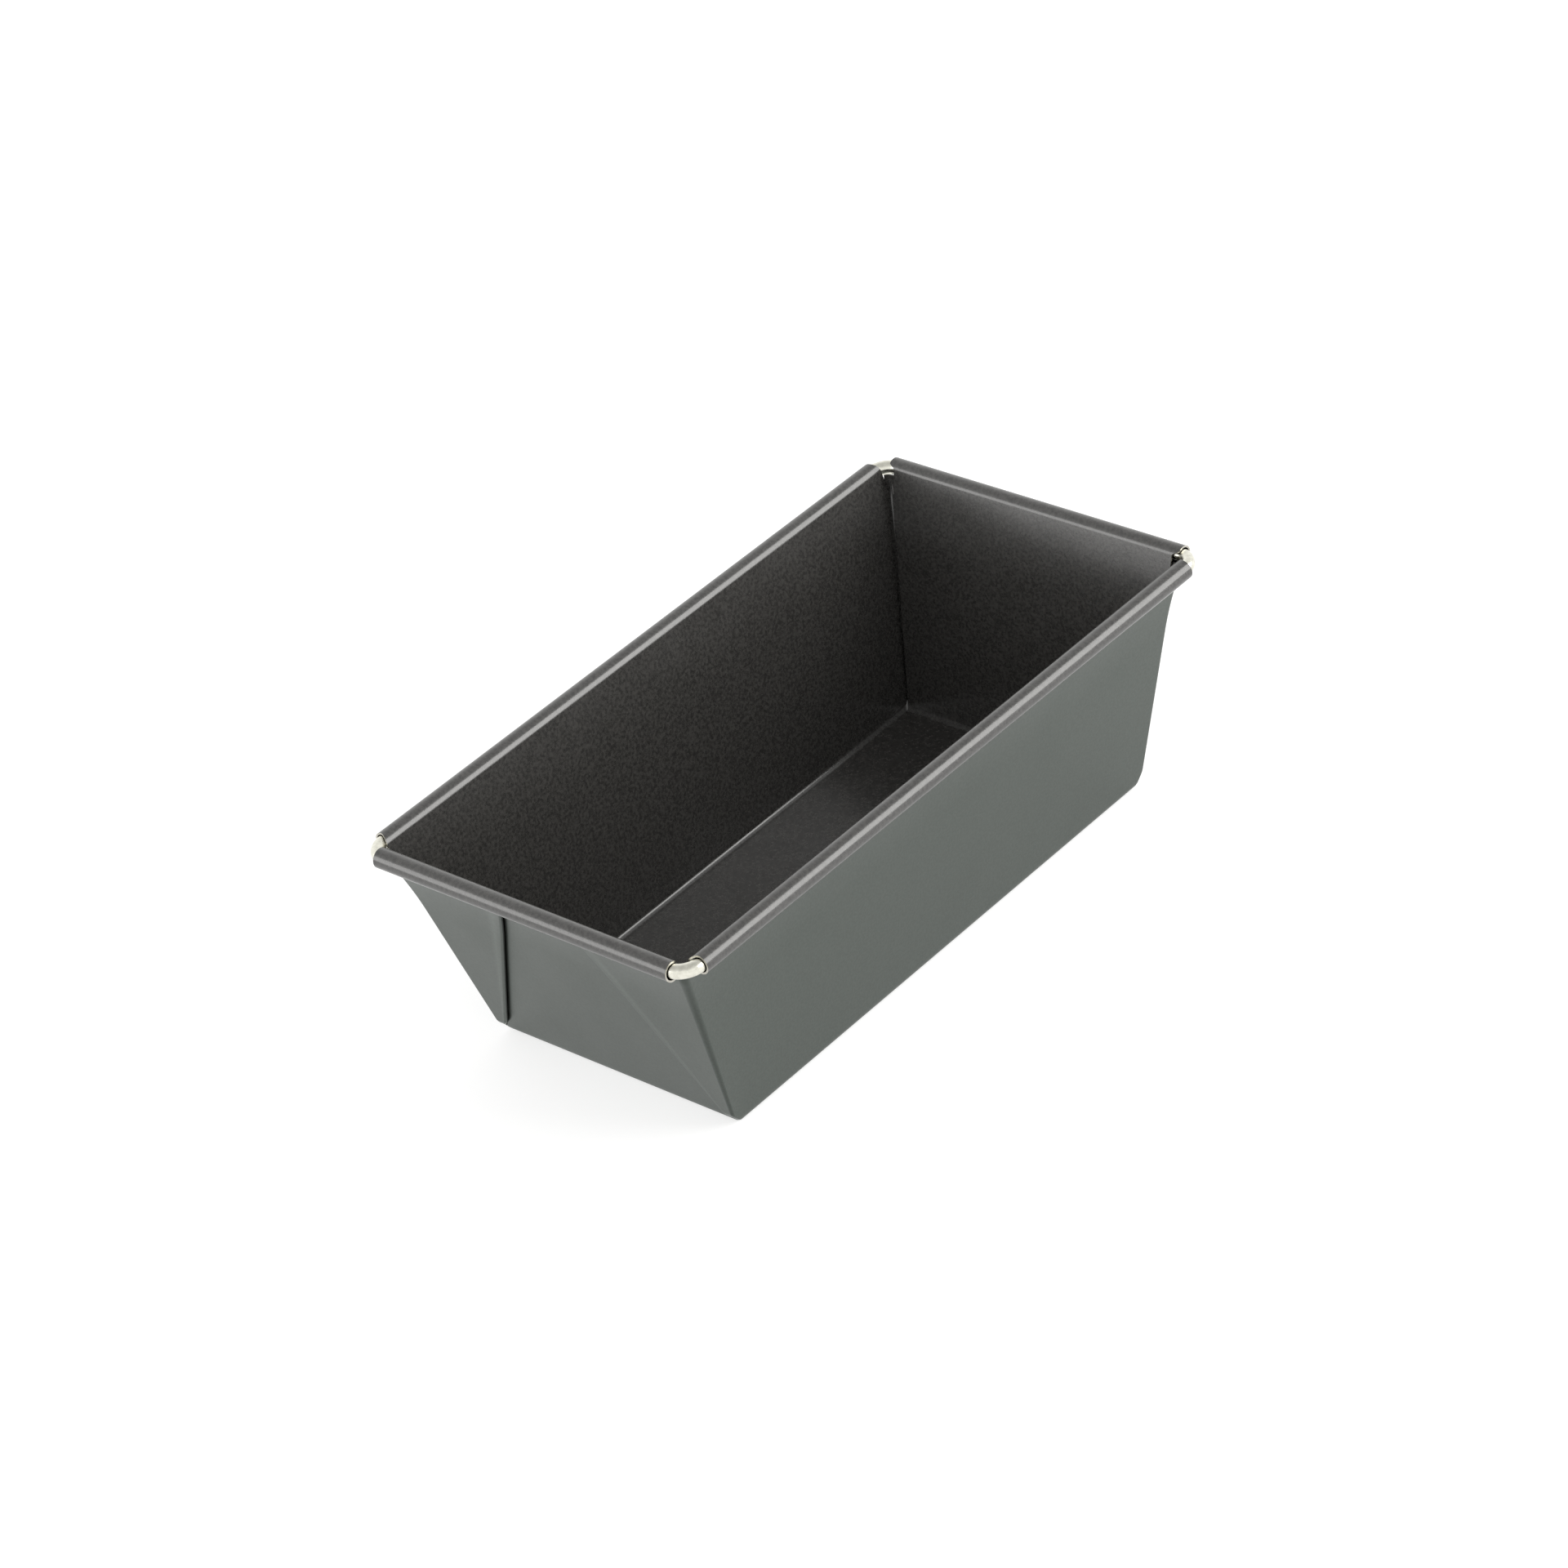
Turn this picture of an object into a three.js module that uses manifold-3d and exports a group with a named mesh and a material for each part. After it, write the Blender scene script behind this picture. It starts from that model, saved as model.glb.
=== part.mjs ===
// A folded sheet-steel loaf pan with a wire-stiffened rim, in millimetres, +Z up.
// The pan's length runs along Y and its origin is the middle of the underside.

import * as THREE from 'three';
import * as BufferGeometryUtils from 'three/addons/utils/BufferGeometryUtils.js';
import Module from 'manifold-3d';

// Overall sizes, over the outside of the curled rim.
const LENGTH = 215.0;
const WIDTH = 114.4;
const HEIGHT = 68.6;

// The base, measured where the outer faces of opposite walls would meet the table.
const BASE_LENGTH = 167.8;
const BASE_WIDTH = 82.0;

// The sheet and its bends. Radii are to the outside of the sheet.
const SHEET = 0.5;
const BASE_BEND_RADIUS = 2.35;
const BASE_CORNER_RADIUS = 1.2;

// The curled rim: its radius, how far it stands out from the wall, and how far round the wire it goes.
const BEAD_RADIUS = 2.8;
const RIM_REACH = 3.83;
const CURL_SWEEP = 300;
const CURL_STEPS = 20;

// The walls run straight up to FLARE_START, lean out by FLARE more up to WALL_TOP, and then curl.
const FLARE_START = 50.0;
const FLARE = 1.0;
const WALL_TOP = 62.4;
const WALL_FOOT = 2.5;

// The corner pleat: each corner's spare sheet is a double flap folded flat onto the end wall. Pairs
// are sizes at the foot of the walls and at their tops.
const LAYER_PITCH = 0.8;
const CORNER_BEND = [0.5, 1.8];
const SEAM_INSET = [0.8, 2.0];
const FLAP_WIDTH = [1.8, 38.9];
const FOLD_STEPS = 4;

// How far the curls start short of the walls' corners, along a side wall and along an end wall, and
// how much further away from the corner their ends slant, over how many degrees of the curl.
const SIDE_CURL_INSET = 1.9;
const END_CURL_INSET = 2.6;
const SIDE_CURL_SLANT = { by: 1.2, over: 90 };
const END_CURL_SLANT = { by: -2.1, over: 35 };

// The tray that closes the bottom laps inside the walls up to this height, with this small step.
const TRAY_TOP = 3.3;
const TRAY_STEP = 0.05;

// Heights of the loops round the base bend, as shares of its radius.
const BEND_LEVELS = [0, 0.03, 0.13, 0.33, 0.6];

// The rim wire.
const WIRE_RADIUS = 2.0;
const WIRE_BEND_RADIUS = 5.6;
const WIRE_BUTT_GAP = 0.4;
const WIRE_SIDES = 16;
const WIRE_BEND_STEPS = 8;

// Points closer together than this are one point.
const MERGE_REACH = 1e-4;

const AXIS_X = WIDTH / 2 - BEAD_RADIUS;
const AXIS_Y = LENGTH / 2 - BEAD_RADIUS;
const AXIS_Z = HEIGHT - BEAD_RADIUS;
const SIDE_SLOPE = (AXIS_X - RIM_REACH - BASE_WIDTH / 2) / AXIS_Z;
const END_SLOPE = (AXIS_Y - RIM_REACH - BASE_LENGTH / 2) / AXIS_Z;
const UP = new THREE.Vector3(0, 0, 1);

const wasm = await Module();
wasm.setup();

// The corners in the order that a loop seen from above passes them anticlockwise.
const CORNERS = [
  { x: 1, y: -1, towardsSide: true },
  { x: 1, y: 1, towardsSide: false },
  { x: -1, y: 1, towardsSide: true },
  { x: -1, y: -1, towardsSide: false },
];

// A surface made of rows of points, joined by bands of faces that look away from the material.
class Skin {
  constructor() {
    this.positions = [];
    this.indices = [];
  }

  row(points) {
    return points.map((point) => this.positions.push(point.x, point.y, point.z) / 3 - 1);
  }

  quad(a, b, c, d) {
    this.indices.push(a, b, c, a, c, d);
  }

  band(lower, upper, skip = () => false) {
    lower.forEach((corner, i) => {
      const next = (i + 1) % lower.length;
      if (!skip(i)) {
        this.quad(corner, lower[next], upper[next], upper[i]);
      }
    });
  }

  strip(first, second) {
    for (let i = 0; i + 1 < first.length; i += 1) {
      this.quad(first[i], second[i], second[i + 1], first[i + 1]);
    }
  }

  fan(centre, row, facesUp) {
    const [middle] = this.row([centre]);
    row.forEach((corner, i) => {
      const next = row[(i + 1) % row.length];
      this.indices.push(middle, facesUp ? corner : next, facesUp ? next : corner);
    });
  }

  geometry() {
    const geometry = new THREE.BufferGeometry();
    geometry.setAttribute('position', new THREE.Float32BufferAttribute(this.positions, 3));
    geometry.setIndex(this.indices);
    return geometry;
  }
}

function toSolid(geometry) {
  const merged = BufferGeometryUtils.mergeVertices(geometry, MERGE_REACH);
  return new wasm.Manifold(new wasm.Mesh({
    numProp: 3,
    vertProperties: new Float32Array(merged.attributes.position.array),
    triVerts: new Uint32Array(merged.index.array),
  }));
}

function toGeometry(solid) {
  const mesh = solid.getMesh();
  const geometry = new THREE.BufferGeometry();
  geometry.setAttribute('position', new THREE.BufferAttribute(mesh.vertProperties, 3));
  geometry.setIndex(new THREE.BufferAttribute(mesh.triVerts, 1));
  return BufferGeometryUtils.mergeVertices(geometry, MERGE_REACH);
}

// Points of an arc about a centre, from one angle to another in degrees.
function arc(centreX, centreY, radius, from, to, steps) {
  return Array.from({ length: steps + 1 }, (_, i) => {
    const angle = THREE.MathUtils.degToRad(from + ((to - from) * i) / steps);
    return new THREE.Vector2(centreX + radius * Math.cos(angle), centreY + radius * Math.sin(angle));
  });
}

// Moves a line of points sideways, to its right for a positive distance, with mitred corners.
function offset(points, distance, closed) {
  const count = points.length;
  const normalAfter = (i) => {
    const edge = points[(i + 1) % count].clone().sub(points[i]).normalize();
    return new THREE.Vector2(edge.y, -edge.x);
  };
  return points.map((point, i) => {
    const before = closed || i > 0 ? normalAfter((i + count - 1) % count) : normalAfter(i);
    const after = closed || i < count - 1 ? normalAfter(i) : before;
    const mitre = before.clone().add(after).normalize();
    return point.clone().addScaledVector(mitre, distance / mitre.dot(after));
  });
}

// Distance of a wall's mid-surface from the pan's middle at a height.
function wallMiddle(base, slope, z) {
  const flared = Math.max(0, z - FLARE_START) / (WALL_TOP - FLARE_START);
  return base / 2 - SHEET / 2 + slope * z + FLARE * flared;
}

// One corner's pleat in plan, from the side wall to the end wall. X is the distance in from the side
// wall and Y the distance in from the flap's outer layer, both at mid-sheet.
function pleat(z) {
  const share = (z - WALL_FOOT) / (WALL_TOP - WALL_FOOT);
  const [bend, seam, flapWidth] = [CORNER_BEND, SEAM_INSET, FLAP_WIDTH].map(
    ([foot, top]) => THREE.MathUtils.lerp(foot, top, share),
  );
  const hem = LAYER_PITCH / 2;
  return [
    new THREE.Vector2(0, SIDE_CURL_INSET),
    ...arc(bend, bend, bend, 180, 270, FOLD_STEPS),
    ...arc(flapWidth - hem, hem, hem, -90, 90, FOLD_STEPS),
    ...arc(seam + hem, LAYER_PITCH + hem, hem, 270, 90, FOLD_STEPS),
    new THREE.Vector2(END_CURL_INSET, 2 * LAYER_PITCH),
  ];
}

// The walls' mid-line at a height, as one closed loop round the pan.
function wallLoop(z) {
  const sideX = wallMiddle(BASE_WIDTH, SIDE_SLOPE, z);
  const flapY = wallMiddle(BASE_LENGTH, END_SLOPE, z) + 2 * LAYER_PITCH;
  const fold = pleat(z);
  return CORNERS.flatMap((corner) => {
    const points = fold.map(
      (p) => new THREE.Vector2(corner.x * (sideX - p.x), corner.y * (flapY - p.y)),
    );
    return corner.towardsSide ? points.reverse() : points;
  });
}

// The sheet's two faces in a rim's cross-section, from the wall's top, round the wire, to the cut
// edge. X is the distance out from the wire's axis and Y the height above it.
function rimFaces(axis, base, slope) {
  const start = new THREE.Vector2(wallMiddle(base, slope, WALL_TOP) - axis, WALL_TOP - AXIS_Z);
  const radius = BEAD_RADIUS - SHEET / 2;
  const towardsAxis = Math.atan2(-start.y, -start.x);
  const tangent = towardsAxis + Math.asin(radius / start.length()) + Math.PI / 2;
  const from = THREE.MathUtils.radToDeg(tangent);
  const line = [start, ...arc(0, 0, radius, from, from - CURL_SWEEP, CURL_STEPS)];
  const inner = offset(line, -SHEET / 2, false);
  const outer = offset(line, SHEET / 2, false);
  inner[0].set(start.x - SHEET / 2, start.y);
  outer[0].set(start.x + SHEET / 2, start.y);
  return { inner, outer };
}

// The four rims, in the order in which the wall loop comes to them.
function rims() {
  const side = rimFaces(AXIS_X, BASE_WIDTH, SIDE_SLOPE);
  const end = rimFaces(AXIS_Y, BASE_LENGTH, END_SLOPE);
  return [
    { faces: side, axis: AXIS_X, slant: SIDE_CURL_SLANT, out: new THREE.Vector3(1, 0, 0) },
    { faces: end, axis: AXIS_Y, slant: END_CURL_SLANT, out: new THREE.Vector3(0, 1, 0) },
    { faces: side, axis: AXIS_X, slant: SIDE_CURL_SLANT, out: new THREE.Vector3(-1, 0, 0) },
    { faces: end, axis: AXIS_Y, slant: END_CURL_SLANT, out: new THREE.Vector3(0, -1, 0) },
  ];
}

// One end of a rim's face in space, at a distance along the wall, without the wall's own top corner.
function placeFace(face, rim, along) {
  const away = along.clone().normalize().negate();
  const slanted = CURL_STEPS * rim.slant.over / CURL_SWEEP;
  return face.slice(1).map((point, i) => rim.out.clone()
    .multiplyScalar(rim.axis + point.x)
    .add(along)
    .addScaledVector(away, rim.slant.by * THREE.MathUtils.smoothstep(i, 0, slanted))
    .setZ(AXIS_Z + point.y));
}

// The walls with their pleated corners, and the curls that stand on their tops.
function makeWalls() {
  const skin = new Skin();
  const levels = [WALL_FOOT, FLARE_START, WALL_TOP];
  const lift = (points, z) => points.map((p) => new THREE.Vector3(p.x, p.y, z));
  const outside = levels.map((z) => lift(offset(wallLoop(z), SHEET / 2, true), z));
  const inside = levels.map((z) => lift(offset(wallLoop(z), -SHEET / 2, true), z));
  const outerRows = outside.map((points) => skin.row(points));
  const innerRows = inside.map((points) => skin.row(points));
  const top = levels.length - 1;
  const loopSize = outerRows[0].length;
  const perCorner = loopSize / CORNERS.length;
  const isRim = (i) => (i + 1) % perCorner === 0;

  for (let level = 0; level < top; level += 1) {
    skin.band(outerRows[level], outerRows[level + 1]);
    skin.band(innerRows[level + 1], innerRows[level]);
  }
  skin.band(innerRows[0], outerRows[0]);
  skin.band(outerRows[top], innerRows[top], isRim);

  rims().forEach((rim, r) => {
    const first = perCorner * (r + 1) - 1;
    const ends = [first, (first + 1) % loopSize].map((i) => {
      const along = outside[top][i].clone().setZ(0);
      along.addScaledVector(rim.out, -along.dot(rim.out));
      return {
        outer: [outerRows[top][i], ...skin.row(placeFace(rim.faces.outer, rim, along))],
        inner: [innerRows[top][i], ...skin.row(placeFace(rim.faces.inner, rim, along))],
      };
    });
    const [start, stop] = ends;
    skin.strip(
      [...start.outer, ...start.inner.slice().reverse()],
      [...stop.outer, ...stop.inner.slice().reverse()],
    );
    skin.strip(start.inner, start.outer);
    skin.strip(stop.outer, stop.inner);
  });
  return skin.geometry();
}

// A rounded rectangle, anticlockwise from above.
function roundedLoop(halfX, halfY, radius, z) {
  return [
    ...arc(halfX - radius, radius - halfY, radius, -90, 0, FOLD_STEPS),
    ...arc(halfX - radius, halfY - radius, radius, 0, 90, FOLD_STEPS),
    ...arc(radius - halfX, halfY - radius, radius, 90, 180, FOLD_STEPS),
    ...arc(radius - halfX, radius - halfY, radius, 180, 270, FOLD_STEPS),
  ].map((point) => new THREE.Vector3(point.x, point.y, z));
}

// Loops up one face of the tray: round the base bend, then straight up its short wall.
function trayFace(depth, bendRadius) {
  const halfAt = (base, slope, z) => {
    const lean = Math.hypot(1, slope);
    const face = base / 2 - depth * lean;
    const centre = face + slope * (depth + bendRadius) - bendRadius * lean;
    const drop = depth + bendRadius - z;
    const bent = centre + Math.sqrt(Math.max(0, bendRadius ** 2 - drop ** 2));
    return drop > bendRadius * slope ? bent : face + slope * z;
  };
  const bendHeights = BEND_LEVELS.map((share) => depth + bendRadius * share);
  return [...bendHeights, TRAY_TOP].map((z) => roundedLoop(
    halfAt(BASE_WIDTH, SIDE_SLOPE, z),
    halfAt(BASE_LENGTH, END_SLOPE, z),
    BASE_CORNER_RADIUS - depth,
    z,
  ));
}

// The base and the bends round it, a little thinner outside and thicker inside than the walls.
function makeTray() {
  const skin = new Skin();
  const [outer, inner] = [TRAY_STEP, SHEET + TRAY_STEP].map(
    (depth) => trayFace(depth, BASE_BEND_RADIUS - depth).map((loop) => skin.row(loop)),
  );
  for (let i = 0; i + 1 < outer.length; i += 1) {
    skin.band(outer[i], outer[i + 1]);
    skin.band(inner[i + 1], inner[i]);
  }
  skin.band(outer.at(-1), inner.at(-1));
  skin.fan(new THREE.Vector3(0, 0, TRAY_STEP), outer[0], false);
  skin.fan(new THREE.Vector3(0, 0, SHEET + TRAY_STEP), inner[0], true);
  const geometry = skin.geometry();
  geometry.translate(0, 0, -TRAY_STEP);
  return geometry;
}

// The whole folded pan: walls, pleats, curls and base, as the one sheet that it is.
function makePanBody() {
  return toGeometry(toSolid(makeWalls()).add(toSolid(makeTray())));
}

// The rim wire: a rounded rectangle whose cut ends meet in the middle of one side.
function makeRimWire() {
  const loop = roundedPath();
  const skin = new Skin();
  const rows = loop.map(({ point, out }) => skin.row(
    arc(0, 0, WIRE_RADIUS, 0, 360, WIRE_SIDES).slice(1).map((spoke) => point.clone()
      .addScaledVector(out, spoke.x)
      .addScaledVector(UP, spoke.y)),
  ));
  for (let i = 0; i + 1 < rows.length; i += 1) {
    skin.band(rows[i + 1], rows[i]);
  }
  skin.fan(loop[0].point, rows[0], true);
  skin.fan(loop.at(-1).point, rows.at(-1), false);
  return skin.geometry();
}

// The wire's centre line as points, each with the direction that faces out of the loop.
function roundedPath() {
  const bends = CORNERS.flatMap((corner, i) => {
    const centre = new THREE.Vector2(
      corner.x * (AXIS_X - WIRE_BEND_RADIUS),
      corner.y * (AXIS_Y - WIRE_BEND_RADIUS),
    );
    const from = -90 + 90 * i;
    return arc(0, 0, WIRE_BEND_RADIUS, from, from + 90, WIRE_BEND_STEPS).map((spoke) => ({
      point: new THREE.Vector3(centre.x + spoke.x, centre.y + spoke.y, AXIS_Z),
      out: new THREE.Vector3(spoke.x, spoke.y, 0).normalize(),
    }));
  });
  const buttEnd = (side) => ({
    point: new THREE.Vector3(-AXIS_X, (side * WIRE_BUTT_GAP) / 2, AXIS_Z),
    out: new THREE.Vector3(-1, 0, 0),
  });
  const half = bends.length * (3 / 4);
  return [buttEnd(-1), ...bends.slice(half), ...bends.slice(0, half), buttEnd(1)];
}

function part(name, geometry, material) {
  const mesh = new THREE.Mesh(geometry, new THREE.MeshStandardMaterial(material));
  mesh.name = name;
  return mesh;
}

const pan = new THREE.Group();
pan.add(part('pan_body', makePanBody(), { color: 0x6a706b, roughness: 0.42, metalness: 0.35 }));
pan.add(part('rim_wire', makeRimWire(), { color: 0xd9d7c9, roughness: 0.25, metalness: 1.0 }));

export default pan;
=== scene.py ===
"""Looks of the folded loaf pan: its fine sheet metal, rim wire, finishes, studio and camera.

The CAD model gives the frame. Lengths here are millimetres until a mesh is made, and the pan's own
sizes are worked out from the CAD nodes' boxes.
"""

import math

import bpy
from mathutils import Matrix, Vector


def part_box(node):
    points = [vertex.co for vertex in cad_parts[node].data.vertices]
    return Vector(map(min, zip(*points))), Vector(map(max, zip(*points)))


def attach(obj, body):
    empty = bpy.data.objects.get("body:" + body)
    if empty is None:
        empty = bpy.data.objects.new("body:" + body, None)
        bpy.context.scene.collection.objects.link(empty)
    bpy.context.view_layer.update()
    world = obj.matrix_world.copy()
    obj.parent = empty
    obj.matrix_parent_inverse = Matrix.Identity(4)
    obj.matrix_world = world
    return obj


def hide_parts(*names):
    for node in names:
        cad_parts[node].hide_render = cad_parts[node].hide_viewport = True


MM = 0.001

# The sheet and its bends. Radii are to the outside of the sheet.
SHEET = 0.5
BASE_LENGTH = 167.8
BASE_WIDTH = 82.0
BASE_BEND_RADIUS = 2.35
BASE_CORNER_RADIUS = 1.2

# The curled rim.
BEAD_RADIUS = 2.8
RIM_REACH = 3.83
CURL_SWEEP = 300
CURL_STEPS = 48

# The walls lean out a little more from FLARE_START up to WALL_TOP, and then curl round the wire.
FLARE_START = 46.0
FLARE = 1.0
WALL_TOP = 62.4
WALL_FOOT = 2.3
FLARE_LEVELS = 8
BASE_BEND_LEVELS = 10

# The corner pleats. Pairs are sizes at the foot of the walls and at their tops.
LAYER_PITCH = 0.8
CORNER_BEND = (0.5, 1.8)
SEAM_INSET = (0.8, 2.0)
FLAP_WIDTH = (1.8, 37.9)
FOLD_STEPS = 10

# Each pleat grows out of the plain corner of the base up to this height.
PLEAT_RISE = 5.0
PLEAT_LEVELS = 8

# The corners stand higher than the walls between them, close under the wire: most beside the side
# wall's curl, less where the corner's bend ends, and least along the flap.
SIDE_RISE = 2.9
BEND_RISE = 2.1
FLAP_RISE = 1.0

# Painted light on the lacquer, as a share of its own colour: painted shade on the corner bends and a
# painted highlight beside the flaps' hems.
BEND_PAINTED_SHADE = 0.68
HEM_PAINTED_HIGHLIGHT = 1.25

# How far the curls start short of the walls' corners, along a side wall and along an end wall, and
# how much further away from the corner their ends slant, over how many degrees of the curl.
SIDE_CURL_INSET = 1.9
END_CURL_INSET = 2.6
SIDE_CURL_SLANT = (1.2, 90)
END_CURL_SLANT = (-2.1, 35)

# The rim wire.
WIRE_RADIUS = 2.0
WIRE_BEND_RADIUS = 5.6
WIRE_BUTT_GAP = 0.4
WIRE_SIDES = 48
WIRE_BEND_STEPS = 24

# Faces meeting at more than this angle keep a sharp edge, in degrees.
SHARP_ANGLE = 38

# The painted highlight beside each flap's hem: where it starts and where it is lightest, as shares of the
# flap's width.
HEM_BAND = (0.86, 0.93)

# Material slots of the sheet.
COATING, LACQUER, BARE = range(3)

# The corners in the order that a loop seen from above passes them anticlockwise: the signs of X and
# Y, and whether the loop reaches the corner along the end wall.
CORNERS = [(1, -1, True), (1, 1, False), (-1, 1, True), (-1, -1, False)]

# The room's light, from all round and from straight above.
WALLS_LIGHT = 1.25
CEILING_LIGHT = 0.7

# How high a direction into the room points where its walls start to dim, from 0 level to 1 upright.
WALLS_TOP = 0.4

# The camera: its direction from the pan, how it is rolled, and where it stands.
CAMERA_AZIMUTH = 46.18
CAMERA_ELEVATION = 33.84
CAMERA_ROLL = -10.47
CAMERA_DISTANCE = 1.471
CAMERA_RIGHT = -0.0117
CAMERA_UP = 0.0327
CAMERA_LENS = 126.1


def arc(centre_x, centre_y, radius, start, stop, steps):
    """Points of an arc about a centre, from one angle to another in degrees."""
    points = []
    for i in range(steps + 1):
        angle = math.radians(start + (stop - start) * i / steps)
        points.append(Vector((centre_x + radius * math.cos(angle), centre_y + radius * math.sin(angle))))
    return points


def offset(points, distance):
    """Moves an open line of points to its right by a distance, with mitred corners."""
    normals = []
    for here, there in zip(points, points[1:]):
        edge = (there - here).normalized()
        normals.append(Vector((edge.y, -edge.x)))
    moved = []
    for i, point in enumerate(points):
        before = normals[max(i - 1, 0)]
        after = normals[min(i, len(normals) - 1)]
        mitre = (before + after).normalized()
        moved.append(point + mitre * (distance / mitre.dot(after)))
    return moved


def mix(a, b, share):
    return a + (b - a) * share


def smooth(share):
    """Eases a share from 0 to 1, held inside that range."""
    share = min(max(share, 0.0), 1.0)
    return share * share * (3 - 2 * share)


class Pan:
    """The pan's driving sizes, taken from the CAD model's box."""

    def __init__(self):
        low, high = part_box("pan_body")
        self.axis_x = high.x / MM - BEAD_RADIUS
        self.axis_y = high.y / MM - BEAD_RADIUS
        self.axis_z = high.z / MM - BEAD_RADIUS
        self.side_slope = (self.axis_x - RIM_REACH - BASE_WIDTH / 2) / self.axis_z
        self.end_slope = (self.axis_y - RIM_REACH - BASE_LENGTH / 2) / self.axis_z


def flare(z):
    """How far a wall leans out beyond its straight line at a height."""
    share = max(0.0, z - FLARE_START) / (WALL_TOP - FLARE_START)
    return FLARE * share * share


def wall_face(base, slope, z, depth):
    """A wall face's distance from the pan's middle at a height, depth below the sheet's outside."""
    return base / 2 + slope * z + flare(z) - depth * math.hypot(1, slope)


def bend_face(base, slope, turn, depth):
    """A point of the base bend's face: its distance from the middle and its height.

    turn goes from 0 at the base to 1 where the bend meets the wall.
    """
    lean = math.hypot(1, slope)
    centre = base / 2 + slope * BASE_BEND_RADIUS - BASE_BEND_RADIUS * lean
    angle = turn * (math.pi / 2 - math.atan(slope))
    radius = BASE_BEND_RADIUS - depth
    return centre + radius * math.sin(angle), BASE_BEND_RADIUS - radius * math.cos(angle)


def pleat_line(z):
    """One corner's folded sheet in plan at mid-sheet, from the side wall to the end wall.

    X is the distance in from the side wall and Y the distance in from the flap's outer layer.
    """
    share = max(0.0, z - WALL_FOOT) / (WALL_TOP - WALL_FOOT)
    bend = mix(*CORNER_BEND, share)
    seam = mix(*SEAM_INSET, share)
    flap_width = mix(*FLAP_WIDTH, share) + flare(z)
    hem = LAYER_PITCH / 2
    return [
        Vector((0, SIDE_CURL_INSET + 1.0)),
        Vector((0, SIDE_CURL_INSET)),
        *arc(bend, bend, bend, 180, 270, FOLD_STEPS),
        *(Vector((mix(bend, flap_width - hem, part), 0)) for part in HEM_BAND),
        *arc(flap_width - hem, hem, hem, -90, 90, FOLD_STEPS),
        *arc(seam + hem, LAYER_PITCH + hem, hem, 270, 90, FOLD_STEPS),
        Vector((END_CURL_INSET, 2 * LAYER_PITCH)),
        Vector((END_CURL_INSET + 1.0, 2 * LAYER_PITCH)),
    ]


def outline_painted_light(index):
    """How light the lacquer is painted at a point of a corner's outline: painted shade on the bend, a
    painted highlight beside the hem.
    """
    if 1 <= index <= FOLD_STEPS + 1:
        return mix(1, BEND_PAINTED_SHADE, math.sin(math.pi * (index - 1) / FOLD_STEPS))
    return HEM_PAINTED_HIGHLIGHT if index == FOLD_STEPS + 3 else 1.0


def outline_rise(index):
    """How far a point of a corner's outline stands above the walls' tops."""
    past_bend = min(max(index - 1, 0), FOLD_STEPS) / FOLD_STEPS
    return mix(SIDE_RISE, BEND_RISE, past_bend) if index <= FOLD_STEPS + 1 else FLAP_RISE


def pleat_face(z, depth):
    """One face of a corner's folded sheet, measured in from the faces of the two walls."""
    middle = SHEET / 2 - depth
    side = -middle
    end = 2 * LAYER_PITCH - middle
    return [Vector((p.x - side, p.y - end)) for p in offset(pleat_line(z), middle)][1:-1]


def corner_outline(z, depth):
    """One face of a corner at a height, from the plain corner of the base to the whole pleat."""
    folded = pleat_face(max(z, WALL_FOOT), depth)
    radius = BASE_CORNER_RADIUS - depth
    plain = arc(radius, radius, radius, 180, 270, len(folded) - 1)
    share = smooth(z / PLEAT_RISE)
    return [mix(a, b, share) for a, b in zip(plain, folded)]


def mirrored(outline):
    """Values along one corner's outline, repeated round the pan as its loops pass them."""
    values = []
    for _, _, towards_side in CORNERS:
        values.extend(reversed(outline) if towards_side else outline)
    return values


def corner_loop(x_face, y_face, x_height, y_height, outline):
    """A closed loop round the pan: one outline mirrored to its four corners."""
    loop = []
    last = len(outline) - 1
    for sign_x, sign_y, towards_side in CORNERS:
        points = []
        for i, p in enumerate(outline):
            height = mix(x_height, y_height, i / last)
            points.append(Vector((sign_x * (x_face - p.x), sign_y * (y_face - p.y), height)))
        loop.extend(reversed(points) if towards_side else points)
    return loop


def wall_loops(pan, depth):
    """Loops of one face of the sheet, from the base up to the tops of the walls."""
    loops = []
    for i in range(BASE_BEND_LEVELS):
        turn = i / BASE_BEND_LEVELS
        x, x_height = bend_face(BASE_WIDTH, pan.side_slope, turn, depth)
        y, y_height = bend_face(BASE_LENGTH, pan.end_slope, turn, depth)
        loops.append(corner_loop(x, y, x_height, y_height, corner_outline(x_height, depth)))
    rising = [mix(WALL_FOOT, PLEAT_RISE, i / PLEAT_LEVELS) for i in range(PLEAT_LEVELS + 1)]
    flared = [mix(FLARE_START, WALL_TOP, i / FLARE_LEVELS) for i in range(FLARE_LEVELS + 1)]
    for z in [*rising, *flared]:
        x = wall_face(BASE_WIDTH, pan.side_slope, z, depth)
        y = wall_face(BASE_LENGTH, pan.end_slope, z, depth)
        loops.append(corner_loop(x, y, z, z, corner_outline(z, depth)))
    last = len(loops[-1]) // len(CORNERS) - 1
    rises = [0.0, *[outline_rise(i) for i in range(1, last)], 0.0]
    for point, rise in zip(loops[-1], mirrored(rises)):
        point.z += rise
    return loops


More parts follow.
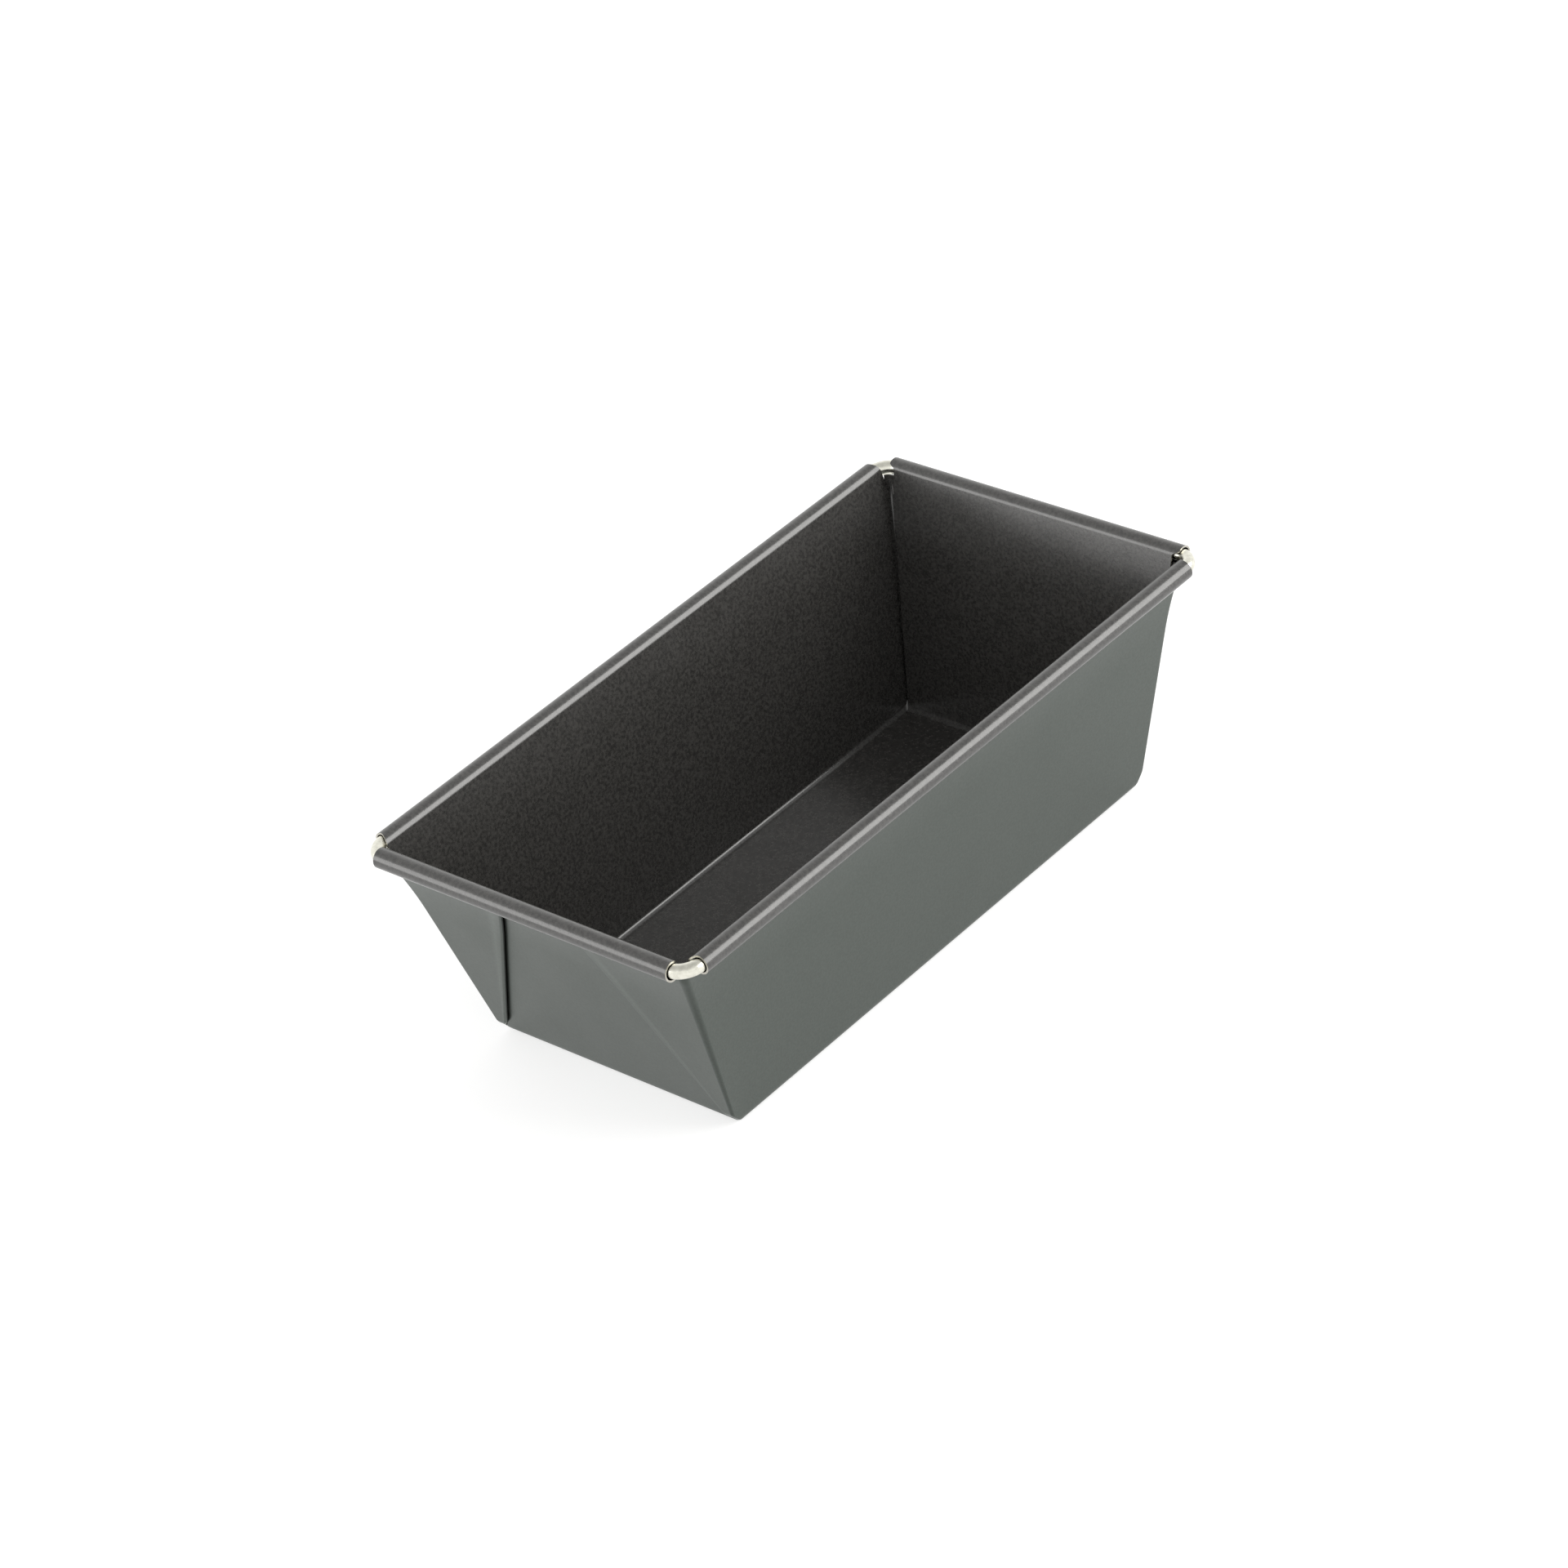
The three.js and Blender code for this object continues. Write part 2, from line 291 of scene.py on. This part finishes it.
class Skin:
    """Rows of points joined by faces that look away from the metal, each with a material slot."""

    def __init__(self):
        self.points = []
        self.painted_light_levels = []
        self.faces = []
        self.slots = []

    def row(self, points, painted_light_levels=None):
        first = len(self.points)
        self.points.extend(points)
        self.painted_light_levels.extend(painted_light_levels or [1.0] * len(points))
        return list(range(first, len(self.points)))

    def face(self, corners, slot):
        self.faces.append(corners)
        self.slots.append(slot)

    def band(self, lower, upper, slot, skip=()):
        for i, corner in enumerate(lower):
            following = (i + 1) % len(lower)
            if i not in skip:
                self.face((corner, lower[following], upper[following], upper[i]), slot)

    def strip(self, first, second, slot):
        for i in range(len(first) - 1):
            self.face((first[i], second[i], second[i + 1], first[i + 1]), slot)

    def mesh(self, name):
        mesh = bpy.data.meshes.new(name)
        mesh.from_pydata([p * MM for p in self.points], [], self.faces)
        mesh.polygons.foreach_set("material_index", self.slots)
        mesh.polygons.foreach_set("use_smooth", [True] * len(self.faces))
        # Painted light per point: painted shade on the corner bends, a painted highlight beside the
        # flaps' hems, 1 elsewhere.
        mesh.attributes.new("light_paint", "FLOAT", "POINT").data.foreach_set("value", self.painted_light_levels)
        mesh.update()
        return mesh


def rim_faces(pan, axis, base, slope):
    """A rim's cross-section: the sheet's outer and inner faces, as distances from the wire's axis."""
    outer_foot = wall_face(base, slope, WALL_TOP, 0) - axis
    inner_foot = wall_face(base, slope, WALL_TOP, SHEET) - axis
    start = Vector(((outer_foot + inner_foot) / 2, WALL_TOP - pan.axis_z))
    radius = BEAD_RADIUS - SHEET / 2
    towards_axis = math.atan2(-start.y, -start.x)
    tangent = math.degrees(towards_axis + math.asin(radius / start.length) + math.pi / 2)
    line = [start, *arc(0, 0, radius, tangent, tangent - CURL_SWEEP, CURL_STEPS)]
    return offset(line, SHEET / 2)[1:], offset(line, -SHEET / 2)[1:]


def add_rims(skin, pan, outer_top, inner_top, per_corner):
    """The four curls on the tops of the walls, between the corners."""
    side = rim_faces(pan, pan.axis_x, BASE_WIDTH, pan.side_slope)
    end = rim_faces(pan, pan.axis_y, BASE_LENGTH, pan.end_slope)
    rims = [
        (side, pan.axis_x, Vector((1, 0, 0)), SIDE_CURL_SLANT),
        (end, pan.axis_y, Vector((0, 1, 0)), END_CURL_SLANT),
        (side, pan.axis_x, Vector((-1, 0, 0)), SIDE_CURL_SLANT),
        (end, pan.axis_y, Vector((0, -1, 0)), END_CURL_SLANT),
    ]
    for r, (faces, axis, out, (slant, slant_turn)) in enumerate(rims):
        first = per_corner * (r + 1) - 1
        ends = []
        for i in (first, (first + 1) % len(outer_top)):
            along = skin.points[outer_top[i]].copy()
            along -= out * along.dot(out)
            along.z = 0
            inward = -along.normalized() * slant
            along.z = pan.axis_z
            placed = []
            for face in faces:
                slanted = CURL_STEPS * slant_turn / CURL_SWEEP
                placed.append(skin.row([
                    along + inward * smooth(j / slanted) + out * (axis + p.x) + Vector((0, 0, p.y))
                    for j, p in enumerate(face)
                ]))
            ends.append(([outer_top[i], *placed[0]], [inner_top[i], *placed[1]]))
        (outer_a, inner_a), (outer_b, inner_b) = ends
        skin.strip(outer_a, outer_b, LACQUER)
        skin.face((outer_a[-1], outer_b[-1], inner_b[-1], inner_a[-1]), BARE)
        skin.strip(inner_a[::-1], inner_b[::-1], COATING)
        skin.strip(inner_a, outer_a, BARE)
        skin.strip(outer_b, inner_b, BARE)


def make_sheet_mesh(pan):
    """The whole folded sheet as one closed skin."""
    skin = Skin()
    outer_loops = wall_loops(pan, 0)
    # The outer face's points carry painted light: painted shade on the corner bends and a painted
    # highlight beside the flaps' hems.
    painted_light_levels = mirrored([outline_painted_light(i) for i in range(len(outer_loops[0]) // len(CORNERS))])
    outer = [skin.row(loop, painted_light_levels) for loop in outer_loops]
    inner = [skin.row(loop) for loop in wall_loops(pan, SHEET)]
    per_corner = len(outer[0]) // len(CORNERS)
    rim_starts = {per_corner * (r + 1) - 1 for r in range(len(CORNERS))}
    for lower, upper in zip(outer, outer[1:]):
        skin.band(lower, upper, LACQUER)
    for lower, upper in zip(inner, inner[1:]):
        skin.band(upper, lower, COATING)
    skin.band(outer[-1], inner[-1], COATING, rim_starts)
    skin.face(tuple(reversed(outer[0])), LACQUER)
    skin.face(tuple(inner[0]), COATING)
    add_rims(skin, pan, outer[-1], inner[-1], per_corner)
    return skin.mesh("pan_sheet")


def make_wire_mesh(pan):
    """The rim wire: a rounded rectangle whose cut ends meet in the middle of one side."""
    stations = []
    for i, (sign_x, sign_y, _) in enumerate(CORNERS):
        centre = Vector((
            sign_x * (pan.axis_x - WIRE_BEND_RADIUS),
            sign_y * (pan.axis_y - WIRE_BEND_RADIUS),
            pan.axis_z,
        ))
        start = -90 + 90 * i
        for spoke in arc(0, 0, 1, start, start + 90, WIRE_BEND_STEPS):
            out = spoke.to_3d()
            stations.append((centre + out * WIRE_BEND_RADIUS, out))
    last_corner = len(stations) * 3 // 4
    butt = [
        (Vector((-pan.axis_x, side * WIRE_BUTT_GAP / 2, pan.axis_z)), Vector((-1, 0, 0)))
        for side in (-1, 1)
    ]
    stations = [butt[0], *stations[last_corner:], *stations[:last_corner], butt[1]]
    skin = Skin()
    rows = [
        skin.row([
            point + out * spoke.x + Vector((0, 0, spoke.y))
            for spoke in arc(0, 0, WIRE_RADIUS, 0, 360, WIRE_SIDES)[1:]
        ])
        for point, out in stations
    ]
    for before, after in zip(rows, rows[1:]):
        skin.band(after, before, 0)
    skin.face(tuple(rows[0]), 0)
    skin.face(tuple(reversed(rows[-1])), 0)
    return skin.mesh("rim_wire_fine")


def add_piece(mesh, materials, node):
    """Puts a mesh in the scene, riding on the pan in place of its CAD node."""
    piece = bpy.data.objects.new(mesh.name, mesh)
    bpy.context.scene.collection.objects.link(piece)
    for material in materials:
        mesh.materials.append(material)
    mesh.set_sharp_from_angle(angle=math.radians(SHARP_ANGLE))
    weighted = piece.modifiers.new("flat_walls", "WEIGHTED_NORMAL")
    weighted.keep_sharp = True
    weighted.weight = 100
    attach(piece, "root")
    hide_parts(node)
    return piece


class Nodes:
    """Short ways to add shader nodes to one material."""

    def __init__(self, name):
        self.material = bpy.data.materials.new(name)
        self.material.use_nodes = True
        self.tree = self.material.node_tree
        self.shader = self.tree.nodes["Principled BSDF"]
        self.place = self.tree.nodes.new("ShaderNodeTexCoord").outputs["Object"]

    def link(self, source, target):
        self.tree.links.new(source, target)

    def noise(self, scale, detail, roughness=0.5):
        node = self.tree.nodes.new("ShaderNodeTexNoise")
        node.inputs["Scale"].default_value = scale
        node.inputs["Detail"].default_value = detail
        node.inputs["Roughness"].default_value = roughness
        self.link(self.place, node.inputs["Vector"])
        return node.outputs["Fac"]

    def ramp(self, source, stops):
        node = self.tree.nodes.new("ShaderNodeValToRGB")
        elements = node.color_ramp.elements
        for element, (position, colour) in zip(elements, (stops[0], stops[-1])):
            element.position = position
            element.color = (*colour, 1)
        for position, colour in stops[1:-1]:
            elements.new(position).color = (*colour, 1)
        self.link(source, node.inputs["Fac"])
        return node.outputs["Color"]

    def with_painted_light(self, colour):
        """The colour times the mesh's painted light: painted shade on the corner bends, a painted
        highlight beside the flaps' hems.
        """
        light_paint = self.tree.nodes.new("ShaderNodeAttribute")
        light_paint.attribute_name = "light_paint"
        scale = self.tree.nodes.new("ShaderNodeVectorMath")
        scale.operation = "SCALE"
        self.link(colour, scale.inputs[0])
        self.link(light_paint.outputs["Fac"], scale.inputs["Scale"])
        return scale.outputs["Vector"]

    def spread(self, source, low, high):
        node = self.tree.nodes.new("ShaderNodeMapRange")
        node.inputs["From Min"].default_value = 0.3
        node.inputs["From Max"].default_value = 0.7
        node.inputs["To Min"].default_value = low
        node.inputs["To Max"].default_value = high
        self.link(source, node.inputs["Value"])
        return node.outputs["Result"]

    def bump(self, height, strength, distance, under=None):
        node = self.tree.nodes.new("ShaderNodeBump")
        node.inputs["Strength"].default_value = strength
        node.inputs["Distance"].default_value = distance
        self.link(height, node.inputs["Height"])
        if under is not None:
            self.link(under, node.inputs["Normal"])
        return node.outputs["Normal"]

    def finish(self, colour, roughness, normal):
        self.link(colour, self.shader.inputs["Base Color"])
        self.link(roughness, self.shader.inputs["Roughness"])
        self.link(normal, self.shader.inputs["Normal"])
        return self.material


def make_coating():
    """The dark release coating inside, semi-gloss with a fine orange-peel grain."""
    nodes = Nodes("release_coating")
    nodes.shader.inputs["IOR"].default_value = 1.7
    speckle = nodes.noise(1100, 2)
    colour = nodes.ramp(speckle, [(0.34, (0.020, 0.0192, 0.0182)), (0.66, (0.043, 0.0415, 0.039))])
    roughness = nodes.spread(nodes.noise(60, 3), 0.19, 0.24)
    waves = nodes.bump(nodes.noise(45, 1), 0.12, 0.0008)
    grain = nodes.bump(speckle, 0.14, 0.00006, waves)
    return nodes.finish(colour, roughness, grain)


def make_lacquer():
    """The grey-green satin lacquer outside."""
    nodes = Nodes("outer_lacquer")
    nodes.shader.inputs["Metallic"].default_value = 1.0
    speckle = nodes.noise(1500, 2)
    colour = nodes.ramp(speckle, [(0.36, (0.088, 0.099, 0.090)), (0.64, (0.099, 0.111, 0.101))])
    roughness = nodes.spread(nodes.noise(50, 3), 0.30, 0.36)
    waves = nodes.bump(nodes.noise(40, 1), 0.12, 0.0008)
    grain = nodes.bump(speckle, 0.12, 0.00005, waves)
    # Painted shade on the corner bends and a painted highlight beside the hems are multiplied into the
    # lacquer's colour.
    return nodes.finish(nodes.with_painted_light(colour), roughness, grain)


def make_bare_steel():
    """The bright cut edges of the sheet."""
    nodes = Nodes("bare_steel")
    nodes.shader.inputs["Metallic"].default_value = 1.0
    scratches = nodes.noise(2500, 3)
    colour = nodes.ramp(scratches, [(0.3, (0.36, 0.35, 0.31)), (0.7, (0.52, 0.50, 0.45))])
    roughness = nodes.spread(scratches, 0.25, 0.4)
    return nodes.finish(colour, roughness, nodes.bump(scratches, 0.2, 0.00003))


def make_wire_steel():
    """The bright drawn wire."""
    nodes = Nodes("drawn_wire")
    nodes.shader.inputs["Metallic"].default_value = 1.0
    scratches = nodes.noise(900, 4)
    colour = nodes.ramp(scratches, [(0.3, (0.60, 0.59, 0.52)), (0.7, (0.72, 0.71, 0.63))])
    roughness = nodes.spread(scratches, 0.14, 0.26)
    return nodes.finish(colour, roughness, nodes.bump(scratches, 0.15, 0.00004))


def make_floor():
    """A plain pale floor under the pan, lit a little from below like a light table."""
    mesh = bpy.data.meshes.new("floor")
    reach = 6.0
    mesh.from_pydata([(-reach, -reach, 0), (reach, -reach, 0), (reach, reach, 0), (-reach, reach, 0)],
                     [], [(0, 1, 2, 3)])
    material = bpy.data.materials.new("floor_white")
    material.use_nodes = True
    shader = material.node_tree.nodes["Principled BSDF"]
    shader.inputs["Base Color"].default_value = (0.5, 0.5, 0.5, 1)
    shader.inputs["Emission Color"].default_value = (1, 1, 1, 1)
    shader.inputs["Emission Strength"].default_value = 0.6
    shader.inputs["Roughness"].default_value = 0.9
    shader.inputs["Specular IOR Level"].default_value = 0.2
    mesh.materials.append(material)
    floor = bpy.data.objects.new("floor", mesh)
    bpy.context.scene.collection.objects.link(floor)


def direction(azimuth, elevation):
    """The unit vector towards a place round the pan, as the camera's angles are counted."""
    a = math.radians(azimuth)
    e = math.radians(elevation)
    return Vector((math.sin(a) * math.cos(e), -math.cos(a) * math.cos(e), math.sin(e)))


def add_softbox(name, azimuth, elevation, distance, size, power, colour):
    light = bpy.data.lights.new(name, "AREA")
    light.shape = "RECTANGLE"
    light.size, light.size_y = size
    light.energy = power
    light.color = colour
    lamp = bpy.data.objects.new(name, light)
    bpy.context.scene.collection.objects.link(lamp)
    towards = direction(azimuth, elevation)
    lamp.location = towards * distance
    lamp.rotation_mode = "QUATERNION"
    lamp.rotation_quaternion = towards.to_track_quat("Z", "Y")


def make_studio():
    """A white room with a dimmer ceiling, a soft box behind on the right and one in front on the left."""
    world = bpy.data.worlds.new("white_room")
    bpy.context.scene.world = world
    world.use_nodes = True
    tree = world.node_tree
    background = tree.nodes["Background"]
    background.inputs["Color"].default_value = (1.0, 1.0, 0.99, 1)
    place = tree.nodes.new("ShaderNodeTexCoord")
    parts = tree.nodes.new("ShaderNodeSeparateXYZ")
    dimming = tree.nodes.new("ShaderNodeMapRange")
    dimming.interpolation_type = "SMOOTHSTEP"
    dimming.inputs["From Min"].default_value = WALLS_TOP
    dimming.inputs["From Max"].default_value = 1.0
    dimming.inputs["To Min"].default_value = WALLS_LIGHT
    dimming.inputs["To Max"].default_value = CEILING_LIGHT
    tree.links.new(place.outputs["Generated"], parts.inputs["Vector"])
    tree.links.new(parts.outputs["Z"], dimming.inputs["Value"])
    tree.links.new(dimming.outputs["Result"], background.inputs["Strength"])
    add_softbox("softbox_right", 130, 27, 1.6, (1.6, 1.1), 24, (1.0, 0.99, 0.97))
    add_softbox("softbox_left", -38, 14, 1.6, (1.5, 0.9), 11, (1.0, 0.99, 0.98))
    bpy.context.scene.view_settings.view_transform = "Standard"


def make_camera():
    """The camera, at the angle that the pan is seen from."""
    back = direction(CAMERA_AZIMUTH, CAMERA_ELEVATION)
    azimuth = math.radians(CAMERA_AZIMUTH)
    right = Vector((math.cos(azimuth), math.sin(azimuth), 0))
    up = back.cross(right)
    roll = math.radians(CAMERA_ROLL)
    rolled_right = right * math.cos(roll) + up * math.sin(roll)
    rolled_up = up * math.cos(roll) - right * math.sin(roll)
    data = bpy.data.cameras.new("camera")
    data.lens = CAMERA_LENS
    data.sensor_width = 36
    data.clip_start = 0.05
    data.clip_end = 50
    camera = bpy.data.objects.new("camera", data)
    bpy.context.scene.collection.objects.link(camera)
    turn = Matrix((rolled_right, rolled_up, back)).transposed()
    camera.matrix_world = turn.to_4x4()
    camera.location = back * CAMERA_DISTANCE + rolled_right * CAMERA_RIGHT + rolled_up * CAMERA_UP
    bpy.context.scene.camera = camera


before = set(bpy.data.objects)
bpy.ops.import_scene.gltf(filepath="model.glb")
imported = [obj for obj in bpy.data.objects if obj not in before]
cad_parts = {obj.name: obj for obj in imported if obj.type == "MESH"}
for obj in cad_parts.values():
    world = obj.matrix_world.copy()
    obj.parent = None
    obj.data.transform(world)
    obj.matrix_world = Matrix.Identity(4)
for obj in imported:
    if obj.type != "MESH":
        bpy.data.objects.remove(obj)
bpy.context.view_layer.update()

pan = Pan()
sheet_materials = [make_coating(), make_lacquer(), make_bare_steel()]
add_piece(make_sheet_mesh(pan), sheet_materials, "pan_body")
add_piece(make_wire_mesh(pan), [make_wire_steel()], "rim_wire")
make_floor()
make_studio()
make_camera()
